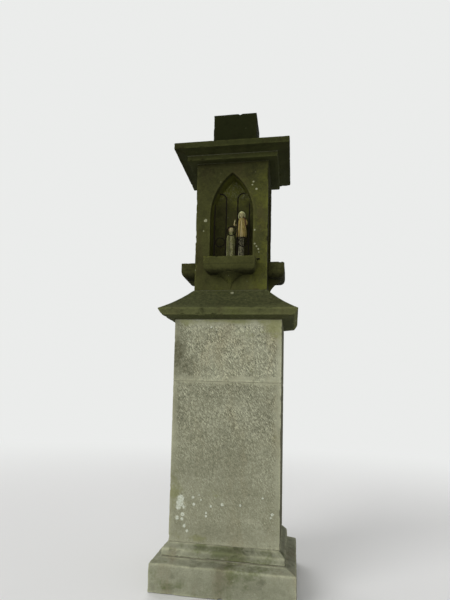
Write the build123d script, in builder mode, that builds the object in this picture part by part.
from build123d import *

import os
from math import cos, pi, sin

# Wayside shrine of dressed sandstone: a stepped plinth, a square shaft, a weathered ledge, a block with
# a pointed niche behind a wrought-iron grille, four consoles, a moulded cap and a cross pedestal.
# Millimetres. +Z is up, the front looks towards -Y, and the origin is the foot's centre on the ground.

# Finish that the stones share
arris = 6.0
bed_joint = 4.0
bed_recess = 8.0

# Plinth, in two courses with sloped tops
plinth_lower_width = 1036.0
plinth_lower_height = 236.0
plinth_lower_slope = 33.0
plinth_upper_width = 886.0
plinth_upper_height = 92.0
plinth_upper_slope = 41.0

# Shaft, in two stones
shaft_width = 800.0
shaft_lower_height = 1161.0
shaft_upper_height = 462.0

# Ledge: a rising soffit, a leaning fascia and a slightly hollow weathered slope
ledge_height = 237.0
ledge_overhang = 118.0
ledge_soffit_rise = 18.0
ledge_fascia_height = 50.0
ledge_fascia_lean = 30.0
ledge_slope_hollow = 10.0
ledge_seat_rim = 8.0

# Niche block, with a deep pointed niche in front and shallow ones on the other sides
block_width = 566.0
block_height = 1023.0
niche_floor_height = 239.0
niche_width = 336.0
niche_depth = 185.0
niche_jamb_height = 360.0
niche_arch_rise = 344.0
blind_niche_depth = 50.0

# Consoles, level with the niche floors
console_width = 394.0
console_projection = 125.0
console_slab_height = 120.0
console_lower_round = 50.0
pendant_flare = [(100.0, 0.0), (62.0, 22.0), (33.0, 50.0), (16.0, 79.0), (7.0, 111.0)]
pendant_foot_gap = 4.0

# Cap: necking, cavetto, fascia and low roof slope
necking_width = 706.0
necking_height = 38.0
cap_width = 888.0
cap_cavetto_rise = 20.0
cap_cavetto_hollow = 7.0
cap_lip = 8.0
cap_fascia_height = 51.0
cap_roof_rise = 60.0
cap_seat_rim = 10.0

# Pedestal of the missing cross
pedestal_width = 354.0
pedestal_height = 281.0

# Grille of square forged bars and flat rings in the mouth of the front niche
grille_setback = 28.0
bar_size = 10.0
bar_spacing = 90.0
outer_bar_height = 464.0
outer_bar_point = 24.0
point_tip_size = 2.0
inner_bar_height = 544.0
inner_bar_bend = 48.0
inner_bar_end = 10.0
bar_knob_radius = 6.5
bar_knob_length = 9.0
ring_thickness = 8.0
ring_clearance = 0.3
side_ring_height = 148.0
middle_ring_height = 237.0
lead_radius = 11.0
lead_height = 5.0
lead_sides = 16

# Iron holdfast beside the front console
holdfast_width = 26.0
holdfast_height = 11.0
holdfast_projection = 13.0
holdfast_round = 3.0
holdfast_offset = 2.0
holdfast_rise = 1.0

# Plaster figures
tall_figure_height = 425.0
tall_figure_offset = 70.0
small_figure_height = 292.0
small_figure_offset = -15.0
figure_back_gap = 80.0

# Levels of the beds, from the ground up
plinth_upper_foot = plinth_lower_height + bed_joint
shaft_lower_foot = plinth_upper_foot + plinth_upper_height + bed_joint
shaft_upper_foot = shaft_lower_foot + shaft_lower_height + bed_joint
ledge_foot = shaft_upper_foot + shaft_upper_height + bed_joint
block_foot = ledge_foot + ledge_height + bed_joint
necking_foot = block_foot + block_height + bed_joint
cap_foot = necking_foot + necking_height + bed_joint
cap_height = cap_cavetto_rise + cap_fascia_height + cap_roof_rise
pedestal_foot = cap_foot + cap_height + bed_joint
niche_floor = block_foot + niche_floor_height

os.makedirs("parts", exist_ok=True)


def save(piece, name):
    """Label a finished piece and write it under its own name."""
    piece.label = name
    export_step(piece, f"parts/{name}.step")


def square_stone(outline):
    """Extrude one elevation along both plan axes and keep what the two share, with mitred corners."""
    reach = outline.sketch.bounding_box().size.X
    with BuildSketch(Plane.XZ) as front_view:
        add(outline.sketch)
    extrude(front_view.sketch, amount=reach, both=True)
    with BuildSketch(Plane.YZ) as side_view:
        add(outline.sketch)
    extrude(side_view.sketch, amount=reach, both=True, mode=Mode.INTERSECT)


def course_outline(width, foot, height, slope, top_width):
    """Elevation of a plinth course: upright sides and a sloped top."""
    with BuildSketch() as outline:
        with BuildLine():
            Polyline(
                (0, foot),
                (width / 2, foot),
                (width / 2, foot + height - slope),
                (top_width / 2, foot + height),
                (0, foot + height),
                close=True,
            )
        make_face()
        mirror(about=Plane.YZ)
    return outline


def squared_block(width, foot, height):
    """Square block with a worn arris on its upright and its lower and upper edges."""
    with BuildSketch(Plane.XY.offset(foot)) as plan:
        Rectangle(width, width)
    block = extrude(plan.sketch, amount=height)
    chamfer(block.edges(), arris)


def mortar_bed(width, level, name):
    """Thin bed of lime mortar under the stone whose foot is at this level plus one joint."""
    with BuildPart() as bed:
        with BuildSketch(Plane.XY.offset(level)):
            Rectangle(width - 2 * bed_recess, width - 2 * bed_recess)
        extrude(amount=bed_joint)
    save(bed.part, name)


# Plinth
with BuildPart() as plinth_lower_stone:
    square_stone(
        course_outline(
            plinth_lower_width,
            0,
            plinth_lower_height,
            plinth_lower_slope,
            plinth_upper_width,
        )
    )
save(plinth_lower_stone.part, "plinth_lower_stone")

with BuildPart() as plinth_upper_stone:
    square_stone(
        course_outline(
            plinth_upper_width,
            plinth_upper_foot,
            plinth_upper_height,
            plinth_upper_slope,
            shaft_width,
        )
    )
save(plinth_upper_stone.part, "plinth_upper_stone")

# Shaft
with BuildPart() as shaft_lower_stone:
    squared_block(shaft_width, shaft_lower_foot, shaft_lower_height)
save(shaft_lower_stone.part, "shaft_lower_stone")

with BuildPart() as shaft_upper_stone:
    squared_block(shaft_width, shaft_upper_foot, shaft_upper_height)
save(shaft_upper_stone.part, "shaft_upper_stone")

# Ledge
ledge_lip = shaft_width / 2 + ledge_overhang
ledge_fascia_foot = ledge_foot + ledge_soffit_rise
ledge_fascia_top = ledge_fascia_foot + ledge_fascia_height
ledge_top = ledge_foot + ledge_height
ledge_seat = block_width / 2 + ledge_seat_rim
with BuildPart() as ledge_stone:
    with BuildSketch() as ledge_outline:
        with BuildLine():
            Polyline(
                (ledge_seat, ledge_top),
                (0, ledge_top),
                (0, ledge_foot),
                (shaft_width / 2, ledge_foot),
                (ledge_lip - ledge_fascia_lean, ledge_fascia_foot),
                (ledge_lip, ledge_fascia_top),
            )
            SagittaArc((ledge_lip, ledge_fascia_top), (ledge_seat, ledge_top), ledge_slope_hollow)
        make_face()
        mirror(about=Plane.YZ)
    square_stone(ledge_outline)
save(ledge_stone.part, "ledge_stone")


def side_plane(turn, reach):
    """Upright plane on one side at this distance from the axis. Turn 0 is the front."""
    outward = Vector(0, -1, 0).rotate(Axis.Z, turn)
    across = Vector(1, 0, 0).rotate(Axis.Z, turn)
    return Plane(origin=outward * reach, x_dir=across, z_dir=outward)


def pointed_arch():
    """Draw the niche's opening: upright jambs and two arcs that meet in a point."""
    half = niche_width / 2
    radius = (half**2 + niche_arch_rise**2) / niche_width
    spring = niche_floor + niche_jamb_height
    with Locations((half - radius, spring)):
        Circle(radius)
    with Locations((radius - half, spring)):
        Circle(radius, mode=Mode.INTERSECT)
    with Locations((0, spring)):
        Rectangle(niche_width, niche_arch_rise, align=(Align.CENTER, Align.MIN), mode=Mode.INTERSECT)
    with Locations((0, spring)):
        Rectangle(niche_width, niche_jamb_height, align=(Align.CENTER, Align.MAX))


# Niche block
block_face = block_width / 2
niche_depths = {0: niche_depth, 90: blind_niche_depth, 180: blind_niche_depth, 270: blind_niche_depth}
with BuildPart() as niche_block:
    with BuildSketch(Plane.XY.offset(block_foot)):
        Rectangle(block_width, block_width)
    extrude(amount=block_height)
    chamfer(niche_block.edges().filter_by(Axis.Z), arris)
    for turn, depth in niche_depths.items():
        with BuildSketch(side_plane(turn, block_face)):
            pointed_arch()
        extrude(amount=-depth, mode=Mode.SUBTRACT)
save(niche_block.part, "niche_block")

# Consoles: a slab whose lower edge is rounded in, on a trumpet-shaped pendant
slab_foot = niche_floor - console_slab_height
pendant_foot = block_foot + pendant_foot_gap
pendant_height = slab_foot - pendant_foot
pendant_radius = pendant_flare[0][0]
pendant_lap = console_lower_round / 5
with BuildPart() as front_console:
    with BuildSketch(side_plane(0, block_face)) as slab_front:
        with Locations((0, niche_floor)):
            Rectangle(console_width, console_slab_height, align=(Align.CENTER, Align.MAX))
        fillet(slab_front.vertices().group_by(Axis.Y)[0], console_lower_round)
    extrude(amount=console_projection)
    with BuildSketch(Plane.YZ) as slab_side:
        with Locations((-block_face, niche_floor)):
            Rectangle(console_projection, console_slab_height, align=(Align.MAX, Align.MAX))
        fillet(slab_side.vertices().group_by(Axis.Y)[0].sort_by(Axis.X)[0], console_lower_round)
    extrude(amount=console_width, both=True, mode=Mode.INTERSECT)
    with BuildSketch(side_plane(0, block_face)):
        with BuildLine():
            Polyline(
                (pendant_radius, slab_foot + pendant_lap),
                *[(radius, slab_foot - drop * pendant_height / pendant_flare[-1][1]) for radius, drop in pendant_flare],
                (0, pendant_foot),
                (0, slab_foot + pendant_lap),
                close=True,
            )
        make_face()
    revolve(axis=Axis((0, -block_face, 0), (0, 0, -1)), revolution_arc=180)
save(front_console.part, "front_console")

for turn, side in {90: "right", 180: "back", 270: "left"}.items():
    with BuildPart() as console:
        add(front_console.part, rotation=(0, 0, turn))
    save(console.part, f"{side}_console")

# Cap
with BuildPart() as necking_stone:
    squared_block(necking_width, necking_foot, necking_height)
save(necking_stone.part, "necking_stone")

cavetto_top = cap_foot + cap_cavetto_rise
fascia_top = cavetto_top + cap_fascia_height
cap_top = cap_foot + cap_height
cap_seat = pedestal_width / 2 + cap_seat_rim
with BuildPart() as cap_stone:
    with BuildSketch() as cap_outline:
        with BuildLine():
            hollow = SagittaArc(
                (necking_width / 2, cap_foot),
                (cap_width / 2 - cap_lip, cavetto_top),
                cap_cavetto_hollow,
            )
            Polyline(
                hollow @ 1,
                (cap_width / 2, cavetto_top),
                (cap_width / 2, fascia_top),
                (cap_seat, cap_top),
                (0, cap_top),
                (0, cap_foot),
                hollow @ 0,
            )
        make_face()
        mirror(about=Plane.YZ)
    square_stone(cap_outline)
save(cap_stone.part, "cap_stone")

# Pedestal of the missing cross
with BuildPart() as cross_pedestal:
    squared_block(pedestal_width, pedestal_foot, pedestal_height)
save(cross_pedestal.part, "cross_pedestal")

# Mortar beds
mortar_bed(plinth_upper_width, plinth_upper_foot - bed_joint, "plinth_mortar_bed")
mortar_bed(shaft_width, shaft_lower_foot - bed_joint, "shaft_foot_mortar_bed")
mortar_bed(shaft_width, shaft_upper_foot - bed_joint, "shaft_mortar_bed")
mortar_bed(shaft_width, ledge_foot - bed_joint, "ledge_mortar_bed")
mortar_bed(block_width, block_foot - bed_joint, "block_mortar_bed")
mortar_bed(block_width, necking_foot - bed_joint, "necking_mortar_bed")
mortar_bed(necking_width, cap_foot - bed_joint, "cap_mortar_bed")
mortar_bed(pedestal_width, pedestal_foot - bed_joint, "pedestal_mortar_bed")

# Grille
grille_face = grille_setback - block_face
grille_plane = side_plane(0, -grille_face)
outer_bar_offset = 1.5 * bar_spacing
inner_bar_offset = 0.5 * bar_spacing


def bar_section(offset, level, size):
    """Square section of a bar at this height above the niche floor."""
    with BuildSketch(Plane.XY.offset(niche_floor + level)) as section:
        with Locations((offset, grille_face)):
            Rectangle(size, size)
    return section.sketch


def straight_bar(offset, name):
    """Upright bar that ends in a four-sided point."""
    shoulder = outer_bar_height - outer_bar_point
    with BuildPart() as bar:
        extrude(bar_section(offset, 0, bar_size), amount=shoulder)
        loft([bar_section(offset, shoulder, bar_size), bar_section(offset, outer_bar_height, point_tip_size)])
    save(bar.part, name)


def bent_bar():
    """Right inner bar, which rises and bends outward in a quarter circle to a knobbed free end."""
    bend_start = (inner_bar_offset, niche_floor + inner_bar_height - bar_size / 2 - inner_bar_bend)
    with BuildPart() as bar:
        with BuildLine(grille_plane) as path:
            Line((inner_bar_offset, niche_floor), bend_start)
            bend = JernArc(start=bend_start, tangent=(0, 1), radius=inner_bar_bend, arc_size=-90)
            end = PolarLine(bend @ 1, inner_bar_end, direction=bend % 1)
        sweep(bar_section(inner_bar_offset, 0, bar_size), path=path.line)
        with Locations(Location(end @ 1, (0, 90, 0))):
            Cylinder(bar_knob_radius, bar_knob_length)
    return bar.part


def ring(offset, height, name):
    """Flat ring that just clears the bars on both sides."""
    outer_radius = (bar_spacing - bar_size) / 2 - ring_clearance
    with BuildPart() as hoop:
        with BuildSketch(side_plane(0, ring_thickness / 2 - grille_face)) as face:
            with Locations((offset, niche_floor + height)):
                Circle(outer_radius)
                Circle(outer_radius - ring_thickness, mode=Mode.SUBTRACT)
        extrude(face.sketch, amount=-ring_thickness)
    save(hoop.part, name)


straight_bar(-outer_bar_offset, "grille_left_outer_bar")
straight_bar(outer_bar_offset, "grille_right_outer_bar")
grille_right_inner_bar = bent_bar()
save(grille_right_inner_bar, "grille_right_inner_bar")
with BuildPart() as grille_left_inner_bar:
    mirror(grille_right_inner_bar, about=Plane.YZ)
save(grille_left_inner_bar.part, "grille_left_inner_bar")
ring(-bar_spacing, side_ring_height, "grille_left_ring")
ring(0, middle_ring_height, "grille_middle_ring")
ring(bar_spacing, side_ring_height, "grille_right_ring")

with BuildPart() as grille_lead_sockets:
    with BuildSketch(Plane.XY.offset(niche_floor)):
        with Locations((0, grille_face)):
            with GridLocations(bar_spacing, 0, 4, 1):
                RegularPolygon(lead_radius, lead_sides)
                Rectangle(bar_size, bar_size, mode=Mode.SUBTRACT)
    extrude(amount=lead_height)
save(grille_lead_sockets.part, "grille_lead_sockets")

# Holdfast
with BuildPart() as iron_holdfast:
    with BuildSketch(side_plane(0, block_face)):
        with Locations((console_width / 2 + holdfast_offset, niche_floor + holdfast_rise)):
            Rectangle(holdfast_width, holdfast_height, align=(Align.MIN, Align.CENTER))
    extrude(amount=holdfast_projection)
    fillet(iron_holdfast.faces().sort_by(Axis.Y)[0].edges(), holdfast_round)
save(iron_holdfast.part, "iron_holdfast")

# Figures. Each section is (height, half width) in shares of the figure's own height, and each piece has
# one depth in shares of its width.
figure_row = niche_depth - block_face - figure_back_gap
neck_top = 0.835
TALL_ROBE = [
    (0.035, 0.066), (0.12, 0.058), (0.30, 0.053), (0.46, 0.056), (0.54, 0.066), (0.66, 0.058), (0.76, 0.054),
    (0.80, 0.046), (neck_top, 0.028),
]
TALL_MANTLE = [
    (0.48, 0.094), (0.51, 0.098), (0.60, 0.098), (0.66, 0.089), (0.71, 0.074), (0.76, 0.066), (0.80, 0.064),
    (neck_top, 0.061),
]
TALL_VEIL = [(neck_top, 0.063), (0.88, 0.064), (0.92, 0.062), (0.95, 0.056), (0.975, 0.045), (0.99, 0.032), (1.0, 0.016)]
TALL_HEAD = [(neck_top, 0.022), (0.855, 0.034), (0.88, 0.042), (0.91, 0.045), (0.94, 0.043), (0.96, 0.036), (0.975, 0.024)]
SMALL_ROBE = [(0.035, 0.128), (0.20, 0.118), (0.50, 0.122), (0.68, 0.118), (0.76, 0.092), (0.80, 0.058), (neck_top, 0.040)]
SMALL_HEAD = [
    (neck_top, 0.038), (0.855, 0.054), (0.885, 0.067), (0.915, 0.071), (0.95, 0.067), (0.98, 0.054), (1.0, 0.034)
]
tall_robe_depth = 0.88
tall_mantle_depth = 0.84
tall_veil_depth = 0.95
tall_head_depth = 1.04
small_robe_depth = 0.82
small_head_depth = 1.04
robe_folds = 10
fold_depth = 0.07
head_sides = 8
veil_clearance = 1.02
veil_opening = 0.074
veil_brow = 0.955
mantle_opening = 0.060
base_height = 0.035
base_spread = 1.12
sleeve_radius = 7.0
sleeve_reach = 26.0
hand_rise = 48.0
hand_lean = 10.0
sleeve_level = 0.72


def draped(offset, height, sections, depth, folds=robe_folds, fold=fold_depth, growth=1.0):
    """Solid of flat facets through ovals whose points step in and out as folds, above the niche floor."""
    loops = []
    for share, half_width in sections:
        loop = []
        for step in range(2 * folds):
            reach = growth * half_width * height * (1 - fold * (step % 2))
            angle = pi * step / folds
            loop.append(
                (offset + reach * cos(angle), figure_row + depth * reach * sin(angle), niche_floor + share * height)
            )
        loops.append(loop)
    outlines = [loops[0], loops[-1]]
    for low, high in zip(loops[:-1], loops[1:]):
        for step in range(2 * folds):
            outlines.append([low[step - 1], low[step], high[step], high[step - 1]])
    facets = [Face(Wire.make_polygon(outline)) for outline in outlines]
    return Solid(Shell(facets))


def front_cut(offset, height, share, level):
    """Block that opens a garment in front, as wide as this share of the height, up to a level."""
    return Location((offset, figure_row, niche_floor + level * height)) * Box(
        share * height, height, height, align=(Align.CENTER, Align.MAX, Align.MAX), mode=Mode.PRIVATE
    )


def figure_base(offset, height, half_width, depth, name):
    """Oval base under a figure's hem."""
    reach = base_spread * half_width * height
    with BuildPart() as base:
        with BuildSketch(Plane.XY.offset(niche_floor)) as oval:
            with Locations((offset, figure_row)):
                Ellipse(reach, depth * reach)
        extrude(oval.sketch, amount=base_height * height)
    save(base.part, name)


figure_base(tall_figure_offset, tall_figure_height, TALL_ROBE[0][1], tall_robe_depth, "tall_figure_base")
figure_base(small_figure_offset, small_figure_height, SMALL_ROBE[0][1], small_robe_depth, "small_figure_base")

tall_figure_robe = draped(tall_figure_offset, tall_figure_height, TALL_ROBE, tall_robe_depth)
save(tall_figure_robe, "tall_figure_robe")

with BuildPart() as tall_figure_mantle:
    add(draped(tall_figure_offset, tall_figure_height, TALL_MANTLE, tall_mantle_depth))
    add(front_cut(tall_figure_offset, tall_figure_height, mantle_opening, 1.0), mode=Mode.SUBTRACT)
    add(tall_figure_robe, mode=Mode.SUBTRACT)
save(tall_figure_mantle.part, "tall_figure_mantle")

head_shape = {"folds": head_sides, "fold": 0.0}
tall_figure_head = draped(tall_figure_offset, tall_figure_height, TALL_HEAD, tall_head_depth, **head_shape)
save(tall_figure_head, "tall_figure_head")

with BuildPart() as tall_figure_veil:
    add(draped(tall_figure_offset, tall_figure_height, TALL_VEIL, tall_veil_depth, fold=fold_depth / 2))
    add(front_cut(tall_figure_offset, tall_figure_height, veil_opening, veil_brow), mode=Mode.SUBTRACT)
    add(
        draped(tall_figure_offset, tall_figure_height, TALL_HEAD, tall_head_depth, growth=veil_clearance, **head_shape),
        mode=Mode.SUBTRACT,
    )
save(tall_figure_veil.part, "tall_figure_veil")

sleeve_start = tall_figure_offset - TALL_MANTLE[4][1] * tall_figure_height
sleeve_height = niche_floor + sleeve_level * tall_figure_height
with BuildPart() as tall_figure_arm:
    with BuildLine(Plane.XZ.offset(-figure_row)) as arm_path:
        Polyline(
            (sleeve_start + sleeve_radius, sleeve_height),
            (sleeve_start - sleeve_reach, sleeve_height),
            (sleeve_start - sleeve_reach + hand_lean, sleeve_height + hand_rise),
        )
    with BuildSketch(Plane(origin=arm_path.line @ 0, z_dir=arm_path.line % 0)):
        RegularPolygon(sleeve_radius, 8)
    sweep(path=arm_path.line, transition=Transition.RIGHT)
    add(tall_figure_mantle.part, mode=Mode.SUBTRACT)
    add(tall_figure_robe, mode=Mode.SUBTRACT)
save(tall_figure_arm.part, "tall_figure_arm")

save(draped(small_figure_offset, small_figure_height, SMALL_ROBE, small_robe_depth), "small_figure_robe")
save(
    draped(small_figure_offset, small_figure_height, SMALL_HEAD, small_head_depth, **head_shape),
    "small_figure_head",
)
